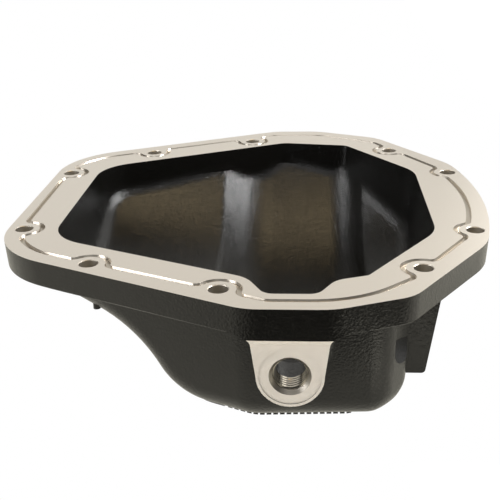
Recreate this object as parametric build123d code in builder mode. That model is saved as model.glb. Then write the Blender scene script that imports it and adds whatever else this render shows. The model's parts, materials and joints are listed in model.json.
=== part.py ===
from build123d import *
import os

# Differential cover, cast in one piece and machined on its gasket face.
# Millimetres. The gasket face is z = 0 and looks up, the bowl hangs below it.
# The axle lies along X above y = 0, and the drain side is -Y.

# Flange
flange_thickness = 15.5
draft = 3.0
flange_lower_edge_chamfer = 0.6

# Flange outline: x, y and corner radius, round from the left rear
flange_corners = [
    (-144.6, 97.5, 58.0),
    (-144.6, -92.0, 58.0),
    (6.0, -165.1, 32.0),
    (50.0, -165.1, 36.0),
    (90.0, -149.0, 22.0),
    (139.0, -77.0, 58.0),
    (154.2, 0.0, 300.0),
    (139.5, 76.0, 58.0),
    (91.0, 150.5, 30.0),
    (44.0, 172.0, 40.0),
    (9.0, 172.0, 28.0),
]

# Bolt holes, each with its twin on the other side of the axle
bolt_hole_diameter = 10.5
bolt_hole_chamfer = 0.4
bolt_holes = [
    (-134.75, 57.0),
    (-82.75, 110.0),
    (-8.25, 142.0),
    (98.25, 113.5),
    (134.75, 57.0),
]

# Opening at the gasket face, with the notch over the drain port
opening_draft = 6.0
opening_corners = [
    (-114.5, 71.4, 33.0),
    (-114.5, -71.2, 33.0),
    (5.2, -127.3, 19.0),
    (15.1, -147.2, 8.0),
    (42.4, -147.2, 8.0),
    (51.4, -130.1, 14.0),
    (68.8, -123.7, 3.0),
    (112.0, -59.5, 36.0),
    (112.0, 59.6, 36.0),
    (66.0, 128.2, 7.0),
    (17.5, 136.2, 14.0),
]

# Corners of the opening that the bowl keeps, a little inside it, with the radii it has there
bowl_inset = 0.4
bowl_corner_radii = {0: 33.0, 1: 33.0, 2: 30.0, 6: 20.0, 7: 36.0, 8: 36.0, 9: 20.0, 10: 21.0}

# Outside, the body stands fuller round the front right corner: x, y and radius there
full_corners = {6: (78.0, -123.2, 16.0), 7: (112.0, -72.7, 36.0)}

# Gasket groove: corners of its path, which bends inward round the bolt holes
groove_width = 3.2
groove_depth = 2.0
groove_bolt_clearance = 11.0
groove_bend_radius = 5.0
groove_corners = [
    (-137.5, 88.0, 52.0),
    (-136.0, -84.0, 52.0),
    (16.7, -155.0, 10.0),
    (62.0, -155.0, 60.0),
    (91.0, -127.5, 8.0),
    (127.0, -70.0, 12.0),
    (142.5, 0.0, 200.0),
    (127.0, 70.0, 12.0),
    (88.0, 137.0, 12.0),
    (44.0, 160.0, 30.0),
    (10.0, 160.0, 10.0),
]

# Bowl
wall = 6.0
floor_corner_radius_inside = 15.0
floor_corner_radius_outside = 16.0

# Room turned about the axle, for the ring gear and both sides: x along its floor, the depth
# there below the gasket face and the radius of the bend
room_axis_height = 88.0
room_middle = 30.0
room_stations = [
    (-140.0, 36.0, 0.0),
    (-27.0, 64.0, 14.0),
    (-5.0, 81.0, 45.0),
    (65.0, 81.0, 28.0),
    (78.0, 66.0, 12.0),
    (140.0, 44.0, 0.0),
]

# Low sump on the drain side: its floor line along the axle, then across it
sump_depth = 83.0
sump_line = [
    (-150.0, -14.1, 0.0),
    (-58.6, -45.2, 66.0),
    (-34.1, -sump_depth, 39.0),
    (87.2, -sump_depth, 18.0),
]
sump_flat_end = (-22.0, -sump_depth)
sump_ramp_end = (10.0, -45.0)
sump_ramp_radius = 25.0

# Drain port boss with its milled pad
port_x = 28.4
port_z = -40.1
pad_face = -160.0
pad_top = -17.6
pad_cutter_radius = 5.0
boss_top_half_width = 20.8
boss_round_radius = 17.5
boss_top_blend_radius = 9.0
boss_blend_radius = 6.0
spot_face_diameter = 32.0
spot_face_depth = 0.4
port_bore_diameter = 18.3
port_chamfer_diameter = 22.4
channel_radius = 13.0
channel_front = -146.0
channel_rear = -110.0
channel_top = -5.0

# Ball-ended clearance for the head of the bolt beside that full corner
relief_bolt = 3
relief_radius = 14.5
relief_ball_z = -48.0

# Squared block under the front right corner, its right side drafted
block_left = 85.0
block_right_top = 115.5
block_right_bottom = 105.6
block_front = -90.0
block_rear = -58.0
block_bottom = -77.3
block_edge_radius = 2.5

# Small round stud under the shallow left end
stud_x = -88.3
stud_y = -80.0
stud_radius = 2.2
stud_bottom = -41.6

# One row of plain raised ribs under the sump, set in from the opening's outline
rib_height = 2.0
rib_sink = 1.0
rib_inset = 10.5
rib_rear = -94.0

# Ribs up the left slope: the x and width of each
slope_ribs = [(-57.5, 8.6), (-45.4, 5.6), (-36.9, 6.2), (-28.3, 2.4), (-23.4, 12.4)]

# Even ribs along the flat floor
floor_rib_left = -9.0
floor_rib_pitch = 3.8
floor_rib_width = 2.7
floor_rib_count = 19

# Longer than any size of the cover, for cuts that run right through
through = 200.0


def outline_face(corners):
    with BuildSketch() as outline:
        with BuildLine():
            Polyline([(x, y) for x, y, radius in corners], close=True)
        make_face()
        for x, y, radius in corners:
            if radius:
                fillet(outline.vertices().sort_by_distance((x, y))[0], radius)
    return outline.sketch


# Outline of the bowl at the gasket face, grown by a skin
def bowl_outline(skin):
    corners = {place: (*opening_corners[place][:2], radius) for place, radius in bowl_corner_radii.items()}
    if skin > 0:
        corners.update(full_corners)
    with BuildSketch() as outline:
        add(outline_face(corners.values()))
        offset(amount=skin - bowl_inset)
    return outline.sketch


def drafted_bowl(skin):
    with BuildPart() as form:
        with BuildSketch():
            add(bowl_outline(skin))
        extrude(amount=-sump_depth - 5 * wall, taper=draft)
    return form.part


# Rounds the corner between the drafted walls and the floor
def round_floor_corner(form, skin):
    picked = {}
    for face in form.faces():
        if face.bounding_box().max.Z > -0.01 and abs(face.normal_at().Z) < 0.5:
            for edge in face.edges():
                if edge.bounding_box().max.Z < -1:
                    centre = edge.center()
                    picked[(round(centre.X, 2), round(centre.Y, 2), round(centre.Z, 2))] = edge
    fillet(list(picked.values()), floor_corner_radius_outside if skin else floor_corner_radius_inside)


def turned_room(skin):
    floor_line = []
    for x, depth, radius in room_stations:
        shift = skin if x > room_middle else -skin
        floor_line.append((x + shift, -depth - skin, radius))
    left_end = (floor_line[0][0], room_axis_height)
    right_end = (floor_line[-1][0], room_axis_height)
    with BuildPart() as turned:
        with BuildSketch(Plane.XZ) as profile:
            with BuildLine():
                Polyline([*[(x, z) for x, z, radius in floor_line], right_end, left_end], close=True)
            make_face()
            for x, z, radius in floor_line:
                if radius:
                    fillet(profile.vertices().sort_by_distance((x, z))[0], radius)
        revolve(axis=Axis((0, 0, room_axis_height), (1, 0, 0)))
        add(drafted_bowl(skin), mode=Mode.INTERSECT)
        round_floor_corner(turned, skin)
    return turned.part


# Sump floor line run out along Y, and everything above it up to the gasket face
def sump_prism(skin):
    with BuildPart() as prism:
        with BuildSketch(Plane.XZ) as long_profile:
            with BuildLine():
                left_end = (sump_line[0][0], wall)
                right_end = (sump_line[-1][0], wall)
                Polyline([*[(x, z) for x, z, radius in sump_line], right_end, left_end], close=True)
            make_face()
            if skin:
                offset(amount=skin, kind=Kind.INTERSECTION)
            for x, z, radius in sump_line:
                if radius:
                    fillet(long_profile.vertices().sort_by_distance((x, z))[0], radius)
        extrude(amount=through, both=True)
    return prism.part


def sump(skin):
    with BuildPart() as low:
        add(sump_prism(skin))
        add(drafted_bowl(skin), mode=Mode.INTERSECT)
        round_floor_corner(low, skin)
        with BuildSketch(Plane.YZ) as cross_profile:
            with BuildLine():
                Polyline(
                    (-through, wall),
                    (-through, -sump_depth),
                    sump_flat_end,
                    sump_ramp_end,
                    (sump_ramp_end[0], wall),
                    close=True,
                )
            make_face()
            if skin:
                offset(amount=skin, kind=Kind.INTERSECTION)
            fillet(cross_profile.vertices().sort_by_distance(sump_flat_end)[0], sump_ramp_radius)
        extrude(amount=through, both=True, mode=Mode.INTERSECT)
    return low.part


# Upright edges where the sides of the port boss meet the bowl
def boss_side_edges(body):
    picked = []
    for edge in body.edges():
        box = edge.bounding_box()
        beside_port = abs(abs(edge.center().X - port_x) - boss_round_radius) < boss_blend_radius
        on_bowl_front = opening_corners[3][1] < box.min.Y and box.max.Y < -100
        if beside_port and on_bowl_front and box.max.Z < 1 - flange_thickness and box.size.Z > 8:
            picked.append(edge)
    return picked


with BuildPart() as flange:
    with BuildSketch():
        add(outline_face(flange_corners))
    extrude(amount=-flange_thickness, taper=draft)
    chamfer(flange.faces().sort_by(Axis.Z)[0].edges(), flange_lower_edge_chamfer)

# Port boss, its front flush with the drafted flange side and its top blended into the underside
with BuildPart() as boss:
    with BuildSketch(Plane.XZ) as boss_profile:
        with Locations((port_x, port_z)):
            Circle(boss_round_radius)
        with BuildLine():
            Polyline(
                (port_x - boss_top_half_width, -flange_thickness),
                (port_x - boss_round_radius, port_z),
                (port_x + boss_round_radius, port_z),
                (port_x + boss_top_half_width, -flange_thickness),
                close=True,
            )
        make_face()
        with Locations((port_x, -flange_thickness)):
            boss_top_width = 2 * boss_top_half_width + 2.4 * boss_top_blend_radius
            Rectangle(boss_top_width, flange_thickness / 2, align=(Align.CENTER, Align.MIN))
        top_line = boss_profile.vertices().group_by(Axis.Y)[-2]
        fillet(top_line.sort_by_distance((port_x, -flange_thickness))[0:2], boss_top_blend_radius)
    extrude(amount=through)
    with BuildPart(mode=Mode.INTERSECT):
        with BuildSketch():
            add(outline_face(flange_corners))
        extrude(amount=-sump_depth, taper=draft)
        split(bisect_by=Plane.XZ.offset(-block_front), keep=Keep.TOP)

with BuildPart() as block:
    with BuildSketch(Plane.XZ.offset(-block_rear)) as block_profile:
        with BuildLine():
            Polyline(
                (block_left, -flange_thickness / 2),
                (block_left, block_bottom),
                (block_right_bottom, block_bottom),
                (block_right_top, -flange_thickness / 2),
                close=True,
            )
        make_face()
        bottom_corner = (block_right_bottom, block_bottom)
        fillet(block_profile.vertices().sort_by_distance(bottom_corner)[0], block_edge_radius)
    extrude(amount=block_rear - block_front)

# Body below the flange, cleared for the head of one bolt
with BuildPart() as body:
    add(turned_room(wall))
    add(sump(wall))
    with Locations((bolt_holes[relief_bolt][0], -bolt_holes[relief_bolt][1], relief_ball_z)):
        Cylinder(
            relief_radius,
            -relief_ball_z + wall,
            align=(Align.CENTER, Align.CENTER, Align.MIN),
            mode=Mode.SUBTRACT,
        )
        Sphere(relief_radius, mode=Mode.SUBTRACT)

with BuildPart() as opening:
    with BuildSketch():
        add(outline_face(opening_corners))
    extrude(amount=-flange_thickness, taper=opening_draft)

# Channel from the notch down to the port, open into the bowl
with BuildPart() as channel:
    with BuildSketch(Plane.XZ.offset(-channel_rear)):
        with Locations((port_x, port_z)):
            Circle(channel_radius)
            Rectangle(2 * channel_radius, channel_top - port_z, align=(Align.CENTER, Align.MIN))
    extrude(amount=channel_rear - channel_front)

# Everything cut away inside, as one form
with BuildPart() as hollow:
    add(turned_room(0))
    add(sump(0))
    add(opening)
    add(channel)

with BuildSketch() as groove_core:
    add(outline_face(groove_corners))
    with Locations(bolt_holes):
        Circle(groove_bolt_clearance, mode=Mode.SUBTRACT)
    with Locations([(x, -y) for x, y in bolt_holes]):
        Circle(groove_bolt_clearance, mode=Mode.SUBTRACT)
    offset(amount=-groove_bend_radius)

with BuildSketch() as groove:
    add(groove_core.sketch)
    offset(amount=groove_bend_radius + groove_width / 2)
    with BuildSketch(mode=Mode.SUBTRACT):
        add(groove_core.sketch)
        offset(amount=groove_bend_radius - groove_width / 2)

# Ribs stand on the sump's own floor line, grown by their height
rib_places = [*slope_ribs]
for place in range(floor_rib_count):
    rib_places.append((floor_rib_left + place * floor_rib_pitch, floor_rib_width))
with BuildPart() as ribs:
    with BuildSketch():
        for x, width in rib_places:
            with Locations((x, rib_rear)):
                Rectangle(width, through, align=(Align.MIN, Align.MAX))
        add(bowl_outline(-rib_inset), mode=Mode.INTERSECT)
    extrude(amount=-through)
    add(sump_prism(wall + rib_height), mode=Mode.INTERSECT)
    add(sump_prism(wall - rib_sink), mode=Mode.SUBTRACT)

with BuildPart() as cover:
    add(flange)
    add(body)
    add(boss)
    fillet(boss_side_edges(cover), boss_blend_radius)
    add(block)
    add(ribs)
    with Locations((stud_x, stud_y, stud_bottom)):
        Cylinder(stud_radius, wall, align=(Align.CENTER, Align.CENTER, Align.MIN))
    add(hollow, mode=Mode.SUBTRACT)
    with Locations([(x, side * y) for x, y in bolt_holes for side in (1, -1)]):
        Hole(bolt_hole_diameter / 2)
    rims = cover.faces().sort_by(Axis.Z)[-1].edges().filter_by(GeomType.CIRCLE)
    chamfer([rim for rim in rims if abs(rim.radius - bolt_hole_diameter / 2) < 0.01], bolt_hole_chamfer)
    with BuildSketch():
        add(groove.sketch)
    extrude(amount=-groove_depth, mode=Mode.SUBTRACT)
    # Milled pad with the cutter's corner radius along its top
    with BuildSketch(Plane.YZ) as cutter:
        with Locations((pad_face, pad_top)):
            Rectangle(4 * pad_cutter_radius, sump_depth, align=(Align.MAX, Align.MAX))
        fillet(cutter.vertices().sort_by_distance((pad_face, pad_top))[0], pad_cutter_radius)
    extrude(amount=through, both=True, mode=Mode.SUBTRACT)
    # Spot face, bore and chamfer of the port
    with Locations(Plane(origin=(port_x, pad_face, port_z), z_dir=(0, -1, 0))):
        Cylinder(spot_face_diameter / 2, 2 * spot_face_depth, mode=Mode.SUBTRACT)
        Cylinder(port_bore_diameter / 2, 40, mode=Mode.SUBTRACT)
        Cone(
            port_bore_diameter / 2,
            port_chamfer_diameter / 2,
            (port_chamfer_diameter - port_bore_diameter) / 2 + spot_face_depth,
            align=(Align.CENTER, Align.CENTER, Align.MAX),
            mode=Mode.SUBTRACT,
        )

cover.part.label = "cover"
os.makedirs("parts", exist_ok=True)
export_step(cover.part, "parts/cover.step")
print("valid", cover.part.is_valid, "volume", cover.part.volume, "solids", len(cover.solids()))
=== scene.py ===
import json
import math

import bmesh
import bpy
from mathutils import Matrix, Vector


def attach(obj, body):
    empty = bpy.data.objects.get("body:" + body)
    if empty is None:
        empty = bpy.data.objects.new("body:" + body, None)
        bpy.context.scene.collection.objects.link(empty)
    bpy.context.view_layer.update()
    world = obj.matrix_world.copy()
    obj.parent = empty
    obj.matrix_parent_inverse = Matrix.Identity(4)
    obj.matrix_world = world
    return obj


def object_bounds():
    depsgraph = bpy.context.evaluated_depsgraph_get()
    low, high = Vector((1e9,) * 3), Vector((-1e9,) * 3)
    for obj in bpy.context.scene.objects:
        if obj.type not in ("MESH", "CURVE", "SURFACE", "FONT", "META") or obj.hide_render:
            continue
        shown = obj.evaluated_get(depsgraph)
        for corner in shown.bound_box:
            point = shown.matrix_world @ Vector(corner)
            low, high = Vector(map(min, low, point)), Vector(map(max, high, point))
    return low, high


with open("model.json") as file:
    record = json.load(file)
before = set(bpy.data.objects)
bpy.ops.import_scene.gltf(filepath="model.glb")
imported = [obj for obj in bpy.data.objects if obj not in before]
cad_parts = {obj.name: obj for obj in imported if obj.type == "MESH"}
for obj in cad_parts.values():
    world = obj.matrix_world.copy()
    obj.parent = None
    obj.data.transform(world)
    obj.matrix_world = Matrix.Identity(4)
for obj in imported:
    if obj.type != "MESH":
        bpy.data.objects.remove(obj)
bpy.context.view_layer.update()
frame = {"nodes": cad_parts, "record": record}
scene = bpy.context.scene
scene.view_settings.view_transform = "Standard"

MM = 0.001

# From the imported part
cover = frame["nodes"]["cover"]
mounts = {mount["name"]: mount for mount in frame["record"]["mounts"]}
drain_port = mounts["drain_port"]
port = Vector(drain_port["pos_m"])
port_radius = drain_port["dims"]["r_mm"] * MM
port_front = port.y - drain_port["dims"]["length_mm"] / 2 * MM
port_rear = port.y + drain_port["dims"]["length_mm"] / 2 * MM
bolt_radius = mounts["side_bolts"]["dims"]["hole_r_mm"] * MM

# Sizes of the part that its record doesn't hold
BOLT_HOLE_CHAMFER = 0.4 * MM
GROOVE_DEPTH = 2.0 * MM
PAD_FACE = -160.0 * MM
PAD_TOP = -17.6 * MM
PAD_CUTTER_RADIUS = 5.0 * MM
SPOT_FACE_DEPTH = 0.4 * MM
PORT_RIM_RADIUS = 11.2 * MM
HEAD_CLEARANCE_RADIUS = 14.5 * MM
HEAD_CLEARANCE_BALL = -48.0 * MM

# A point this near to a surface of the part is on it
NEAR = 0.1 * MM

# Shares of a face's normal on the pad
PAD_LEAST_FORWARD = 0.05
PAD_MOST_SIDEWAYS = 0.5

# Surface of the casting and of the metal that was cut
CAST_NOISE_SCALE = 760.0
CAST_NOISE_ROUGHNESS = 0.6
CAST_BUMP_STRENGTH = 0.55
CAST_BUMP_HEIGHT = 0.8 * MM
METAL_NOISE_SCALE = 1400.0
METAL_NOISE_ROUGHNESS = 0.5
METAL_BUMP_HEIGHT = 0.1 * MM
WALL_LEAN = 0.48

# Corners sharper than this stay crisp
CRISP_ANGLE = 24
WELD_DISTANCE = 0.002 * MM

# Thread of the drain port, coarse and wide in the crest, so that its turns show.
# Each profile point is a share of the pitch along the bore and of the depth.
THREAD_PITCH = 2.1 * MM
THREAD_DEPTH = 0.9 * MM
THREAD_TURNS = 5.4
THREAD_STEPS = 48
THREAD_RUN_IN = 0.5
THREAD_LEAD = 0.3 * MM
THREAD_SINK = 0.05 * MM
THREAD_PROFILE = [(-0.5, 0.0), (-0.35, 1.0), (0.2, 1.0), (0.5, 0.0)]

# The floor as the coat and the metal reflect it: dark in front of the part, and bright
# in a patch before the corner of the body and farther out at the right. Each pair is
# the stretch over which a zone sets in or ends.
FLOOR_REACH = 3.0
FLOOR_LEVEL = 0.8
DARK_LEVEL = 0.08
DARK_LEFT = (-0.16, -0.04)
DARK_RIGHT = (0.30, 0.48)
DARK_REAR = (-0.255, -0.155)
PATCH_LEVEL = 2.0
PATCH_LEFT = (0.085, 0.100)
PATCH_RIGHT = (0.128, 0.142)
PATCH_FRONT = (-0.24, -0.20)
PATCH_REAR = (-0.166, -0.156)
SIDE_LEVEL = 0.8
SIDE_LEFT = (0.24, 0.38)
REFLECTED_TINT = (1.0, 0.96, 0.82)

# The world lights the part at the first level, and the camera sees the second
WORLD_LIGHT = 0.05
WORLD_SEEN = 1.0

WHITE = (1.0, 1.0, 1.0)
WARM = (1.0, 0.98, 0.93)
AMBER = (1.0, 0.79, 0.48)

# The camera, as it was solved from the bolt holes in the photograph
SENSOR_WIDTH = 36.0
LENS = 63.295
CAMERA_PLACE = (0.03795, -0.54535, 0.18633)
CAMERA_SIDE = (0.99770446, 0.06408151, -0.02189448)
CAMERA_UP = (-0.00397567, 0.37818594, 0.92572112)


# Shader nodes
def new_material(name):
    material = bpy.data.materials.new(name)
    material.use_nodes = True
    tree = material.node_tree
    return material, tree, tree.nodes["Principled BSDF"]


def link(tree, source, target):
    tree.links.new(source, target)


def object_axes(tree):
    coordinates = tree.nodes.new("ShaderNodeTexCoord")
    axes = tree.nodes.new("ShaderNodeSeparateXYZ")
    link(tree, coordinates.outputs["Object"], axes.inputs["Vector"])
    return axes.outputs


def noise(tree, scale, roughness):
    coordinates = tree.nodes.new("ShaderNodeTexCoord")
    texture = tree.nodes.new("ShaderNodeTexNoise")
    texture.inputs["Scale"].default_value = scale
    texture.inputs["Roughness"].default_value = roughness
    link(tree, coordinates.outputs["Object"], texture.inputs["Vector"])
    return texture.outputs["Fac"]


def bump(tree, height, strength, distance):
    node = tree.nodes.new("ShaderNodeBump")
    node.inputs["Strength"].default_value = strength
    node.inputs["Distance"].default_value = distance
    link(tree, height, node.inputs["Height"])
    return node


# Turns the range from low to high into the range from first to last
def ramp(tree, value, low, high, first, last):
    node = tree.nodes.new("ShaderNodeMapRange")
    node.inputs["From Min"].default_value = low
    node.inputs["From Max"].default_value = high
    node.inputs["To Min"].default_value = first
    node.inputs["To Max"].default_value = last
    link(tree, value, node.inputs["Value"])
    return node.outputs["Result"]


def rise(tree, value, stretch, level=1.0):
    result = ramp(tree, value, *stretch, 0.0, level)
    result.node.interpolation_type = "SMOOTHSTEP"
    return result


def fall(tree, value, stretch, level=1.0):
    result = ramp(tree, value, *stretch, level, 0.0)
    result.node.interpolation_type = "SMOOTHSTEP"
    return result


def combine(tree, operation, first, *others):
    result = first
    for other in others:
        node = tree.nodes.new("ShaderNodeMath")
        node.operation = operation
        link(tree, result, node.inputs[0])
        link(tree, other, node.inputs[1])
        result = node.outputs[0]
    return result


# Materials
def coat_material(name, roughness):
    material, tree, shader = new_material(name)
    shader.inputs["Base Color"].default_value = (0.0045, 0.0042, 0.0034, 1)
    shader.inputs["Roughness"].default_value = roughness
    cast = noise(tree, CAST_NOISE_SCALE, CAST_NOISE_ROUGHNESS)
    grain = bump(tree, cast, CAST_BUMP_STRENGTH, CAST_BUMP_HEIGHT)
    link(tree, grain.outputs["Normal"], shader.inputs["Normal"])
    return material


def machined_material(name, colour, roughness, grain, metallic=1.0):
    material, tree, shader = new_material(name)
    shader.inputs["Base Color"].default_value = (*colour, 1)
    shader.inputs["Metallic"].default_value = metallic
    shader.inputs["Roughness"].default_value = roughness
    fine = noise(tree, METAL_NOISE_SCALE, METAL_NOISE_ROUGHNESS)
    marks = bump(tree, fine, grain, METAL_BUMP_HEIGHT)
    link(tree, marks.outputs["Normal"], shader.inputs["Normal"])
    return material


# The groove's walls lean outwards to the top, as its cutter leaves them
def groove_material():
    # Its colour is darker than the machined face: painted shade in the groove.
    material = machined_material("groove", (0.56, 0.51, 0.44), roughness=0.34, grain=0.1)
    tree = material.node_tree
    marks = tree.nodes["Principled BSDF"].inputs["Normal"].links[0].from_node
    lean = bump(tree, object_axes(tree)["Z"], 1.0, WALL_LEAN)
    lean.invert = True
    link(tree, lean.outputs["Normal"], marks.inputs["Normal"])
    return material


coat = coat_material("black_coat", roughness=0.22)
dull_coat = coat_material("dull_coat", roughness=0.75)
machined = machined_material("machined_face", (0.83, 0.785, 0.72), roughness=0.42, grain=0.08)
# Bolt holes and the drain port's bore and rim are darker than the face: painted shade in these
# recesses.
recess = machined_material("cut_recess_painted_shade", (0.54, 0.50, 0.44), roughness=0.45, grain=0.15)
milled = machined_material(
    "milled_pad", (0.98, 0.91, 0.80), roughness=0.5, grain=0.1, metallic=0.1
)
groove = groove_material()


# The cover: smooth casting, crisp machined edges, bare metal where it was cut, with painted shade
# in its groove, bolt holes and drain port
def bolt_centres():
    centres = []
    for mount in mounts.values():
        if mount["kind"] != "bolt_pattern":
            continue
        middle, dims = Vector(mount["pos_m"]), mount["dims"]
        half_x = dims.get("spacing_x_mm", 0) / 2 * MM
        half_y = dims["spacing_y_mm"] / 2 * MM
        for x in {-half_x, half_x}:
            for y in (-half_y, half_y):
                centres.append(middle + Vector((x, y, 0)))
    return centres


def in_bolt_hole(points):
    reach = bolt_radius + BOLT_HOLE_CHAMFER + NEAR
    return any(all((point.xy - bolt.xy).length < reach for point in points) for bolt in bolts)


# Bore and chamfered rim of the drain port
def in_port(points, middle):
    widest = max(math.hypot(point.x - port.x, point.z - port.z) for point in points)
    in_bore = middle.y < port_rear and widest < port_radius + NEAR
    in_rim = middle.y < port_front and widest < PORT_RIM_RADIUS + NEAR
    return in_bore or in_rim


# The clearance of a bolt's head ends in a ball, whose duller coat keeps it from glinting
def on_ball(points):
    for bolt in bolts:
        ball = Vector((bolt.x, bolt.y, HEAD_CLEARANCE_BALL))
        if all(
            point.z < ball.z + NEAR and abs((point - ball).length - HEAD_CLEARANCE_RADIUS) < NEAR
            for point in points
        ):
            return True
    return False


# The pad, with the corner that its cutter leaves along the top. Its faces look
# forwards, and not as far to a side as those of the boss around it.
def on_pad(points, normal):
    if normal.y > -PAD_LEAST_FORWARD or abs(normal.x) > PAD_MOST_SIDEWAYS:
        return False
    front = PAD_FACE - PAD_CUTTER_RADIUS - NEAR
    rear = PAD_FACE + SPOT_FACE_DEPTH + NEAR
    return all(front < point.y < rear and point.z < PAD_TOP + NEAR for point in points)


def finish_of(polygon):
    points = [mesh.vertices[index].co for index in polygon.vertices]
    lowest = min(point.z for point in points)
    if lowest > -NEAR:
        return machined
    if in_bolt_hole(points):
        return recess
    if lowest > -GROOVE_DEPTH - NEAR:
        return groove
    if in_port(points, polygon.center):
        return recess
    if on_ball(points):
        return dull_coat
    if on_pad(points, polygon.normal):
        return milled
    return coat


bolts = bolt_centres()
mesh = cover.data
mesh.materials.clear()
finishes = [coat, machined, recess, milled, groove, dull_coat]
for finish in finishes:
    mesh.materials.append(finish)
for polygon in mesh.polygons:
    polygon.material_index = finishes.index(finish_of(polygon))
    polygon.use_smooth = True

weld = cover.modifiers.new("weld", "WELD")
weld.merge_threshold = WELD_DISTANCE
split = cover.modifiers.new("split", "EDGE_SPLIT")
split.split_angle = math.radians(CRISP_ANGLE)
weighted = cover.modifiers.new("weighted", "WEIGHTED_NORMAL")
weighted.mode = "FACE_AREA"
weighted.weight = 100


# Thread of the drain port: the profile swept along a helix, rising over its first half turn
def thread_ring(shape, step):
    angle = 2 * math.pi * step / THREAD_STEPS
    turns = step / THREAD_STEPS
    height = THREAD_DEPTH * min(1.0, turns / THREAD_RUN_IN)
    ring = []
    for along, up in THREAD_PROFILE:
        radius = port_radius + THREAD_SINK - height * up
        x = port.x + radius * math.cos(angle)
        y = port_front - THREAD_LEAD + THREAD_PITCH * (0.5 + turns + along)
        z = port.z + radius * math.sin(angle)
        ring.append(shape.verts.new((x, y, z)))
    return ring


def thread_mesh():
    shape = bmesh.new()
    rings = [thread_ring(shape, step) for step in range(int(THREAD_TURNS * THREAD_STEPS) + 1)]
    for first, second in zip(rings, rings[1:]):
        for i in range(len(THREAD_PROFILE) - 1):
            shape.faces.new((first[i], first[i + 1], second[i + 1], second[i]))
    bmesh.ops.recalc_face_normals(shape, faces=shape.faces)
    thread_data = bpy.data.meshes.new("port_thread")
    shape.to_mesh(thread_data)
    shape.free()
    return thread_data


thread = bpy.data.objects.new("port_thread", thread_mesh())
scene.collection.objects.link(thread)
# The thread is darker than the machined face: painted shade in the drain port's bore.
thread.data.materials.append(
    machined_material("thread", (0.52, 0.48, 0.41), roughness=0.2, grain=0.05)
)
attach(thread, "root")


# Floor: white to the camera, pale to soft light, and with its own levels where gloss
# reflects it
def reflected_level(tree):
    axes = object_axes(tree)
    x, y = axes["X"], axes["Y"]
    front = fall(tree, y, DARK_REAR)
    in_dark = combine(tree, "MULTIPLY", front, rise(tree, x, DARK_LEFT), fall(tree, x, DARK_RIGHT))
    level = ramp(tree, in_dark, 0.0, 1.0, FLOOR_LEVEL, DARK_LEVEL)
    patch = combine(
        tree,
        "MULTIPLY",
        rise(tree, x, PATCH_LEFT),
        fall(tree, x, PATCH_RIGHT),
        fall(tree, y, PATCH_REAR, PATCH_LEVEL),
        rise(tree, y, PATCH_FRONT),
    )
    bright = combine(tree, "ADD", patch, rise(tree, x, SIDE_LEFT, SIDE_LEVEL))
    outside_dark = ramp(tree, in_dark, 0.0, 1.0, 1.0, 0.0)
    return combine(tree, "ADD", level, combine(tree, "MULTIPLY", bright, outside_dark))


def floor_material():
    material, tree, shader = new_material("floor")
    shader.inputs["Base Color"].default_value = (0.9, 0.9, 0.9, 1)
    shader.inputs["Roughness"].default_value = 0.8
    path = tree.nodes.new("ShaderNodeLightPath").outputs
    tint = tree.nodes.new("ShaderNodeMix")
    tint.data_type = "RGBA"
    # By number, as a Mix node has sockets of the same name for each kind of value
    factor, first_colour, second_colour = tint.inputs[0], tint.inputs[6], tint.inputs[7]
    mixed_colour = tint.outputs[2]
    first_colour.default_value = (*REFLECTED_TINT, 1)
    second_colour.default_value = (*WHITE, 1)
    link(tree, path["Is Camera Ray"], factor)
    shown = tree.nodes.new("ShaderNodeEmission")
    level = combine(tree, "MAXIMUM", path["Is Camera Ray"], reflected_level(tree))
    link(tree, mixed_colour, shown.inputs["Color"])
    link(tree, level, shown.inputs["Strength"])
    mix = tree.nodes.new("ShaderNodeMixShader")
    seen = combine(tree, "MAXIMUM", path["Is Camera Ray"], path["Is Glossy Ray"])
    link(tree, seen, mix.inputs["Fac"])
    link(tree, shader.outputs["BSDF"], mix.inputs[1])
    link(tree, shown.outputs["Emission"], mix.inputs[2])
    link(tree, mix.outputs["Shader"], tree.nodes["Material Output"].inputs["Surface"])
    return material


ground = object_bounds()[0].z
corners = [(-1, -1), (1, -1), (1, 1), (-1, 1)]
floor_mesh = bpy.data.meshes.new("floor")
floor_mesh.from_pydata(
    [(x * FLOOR_REACH, y * FLOOR_REACH, ground) for x, y in corners], [], [(0, 1, 2, 3)]
)
floor = bpy.data.objects.new("floor", floor_mesh)
scene.collection.objects.link(floor)
floor_mesh.materials.append(floor_material())

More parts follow.
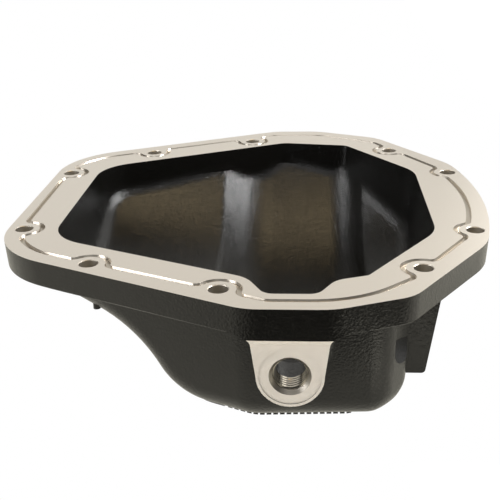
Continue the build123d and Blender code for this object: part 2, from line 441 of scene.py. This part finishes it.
# World
scene.world = bpy.data.worlds.new("studio")
scene.world.use_nodes = True
sky = scene.world.node_tree
sky_path = sky.nodes.new("ShaderNodeLightPath").outputs
background = sky.nodes["Background"]
background.inputs["Color"].default_value = (*WHITE, 1)
sky_level = ramp(sky, sky_path["Is Camera Ray"], 0.0, 1.0, WORLD_LIGHT, WORLD_SEEN)
link(sky, sky_level, background.inputs["Strength"])


# A flat lamp whose face has the given brightness
def softbox(name, place, target, size, brightness, colour=WHITE):
    width, height = size
    lamp = bpy.data.lights.new(name, "AREA")
    lamp.shape = "RECTANGLE"
    lamp.size, lamp.size_y = width, height
    lamp.energy = brightness * math.pi * width * height
    lamp.color = colour
    box = bpy.data.objects.new(name, lamp)
    scene.collection.objects.link(box)
    box.location = place
    box.rotation_mode = "QUATERNION"
    box.rotation_quaternion = (Vector(target) - Vector(place)).to_track_quat("-Z", "Y")
    box.visible_camera = False


# Two wide boxes light the gasket face from the rear, and an amber one hangs over the
# part. A small bright one at each side makes the narrow highlights in the coat, and two
# boxes light the front walls.
FRONT_WALL = (0.0, -0.1, -0.03)
softbox("rear_box", (-0.5, 1.33, 0.62), (-0.1, 0.0, 0.0), (1.8, 1.1), 0.78, WARM)
softbox("rear_right_box", (0.85, 1.25, 0.62), (0.1, 0.0, 0.0), (0.9, 1.1), 1.85, WARM)
softbox("top_box", (0.16, 0.05, 1.2), (0.0, 0.0, 0.0), (0.62, 0.4), 5.2, AMBER)
softbox("right_box", (0.88, 0.06, 0.62), (0.0, 0.08, -0.03), (0.22, 0.22), 72.0)
softbox("left_box", (-0.66, -0.04, 0.80), (0.05, 0.12, -0.03), (0.12, 0.12), 75.0)
softbox("front_left_box", (-1.08, -0.60, 0.40), FRONT_WALL, (0.46, 0.38), 8.0)
softbox("front_box", (0.05, -1.1, 1.0), FRONT_WALL, (1.0, 0.4), 2.4)

# Camera at the photograph's place
lens = bpy.data.cameras.new("camera")
lens.sensor_width = SENSOR_WIDTH
lens.lens = LENS
lens.clip_start, lens.clip_end = 0.01, 20
camera = bpy.data.objects.new("camera", lens)
scene.collection.objects.link(camera)
side, up = Vector(CAMERA_SIDE), Vector(CAMERA_UP)
turned = Matrix((side, up, side.cross(up))).transposed().to_4x4()
camera.matrix_world = Matrix.Translation(CAMERA_PLACE) @ turned
scene.camera = camera
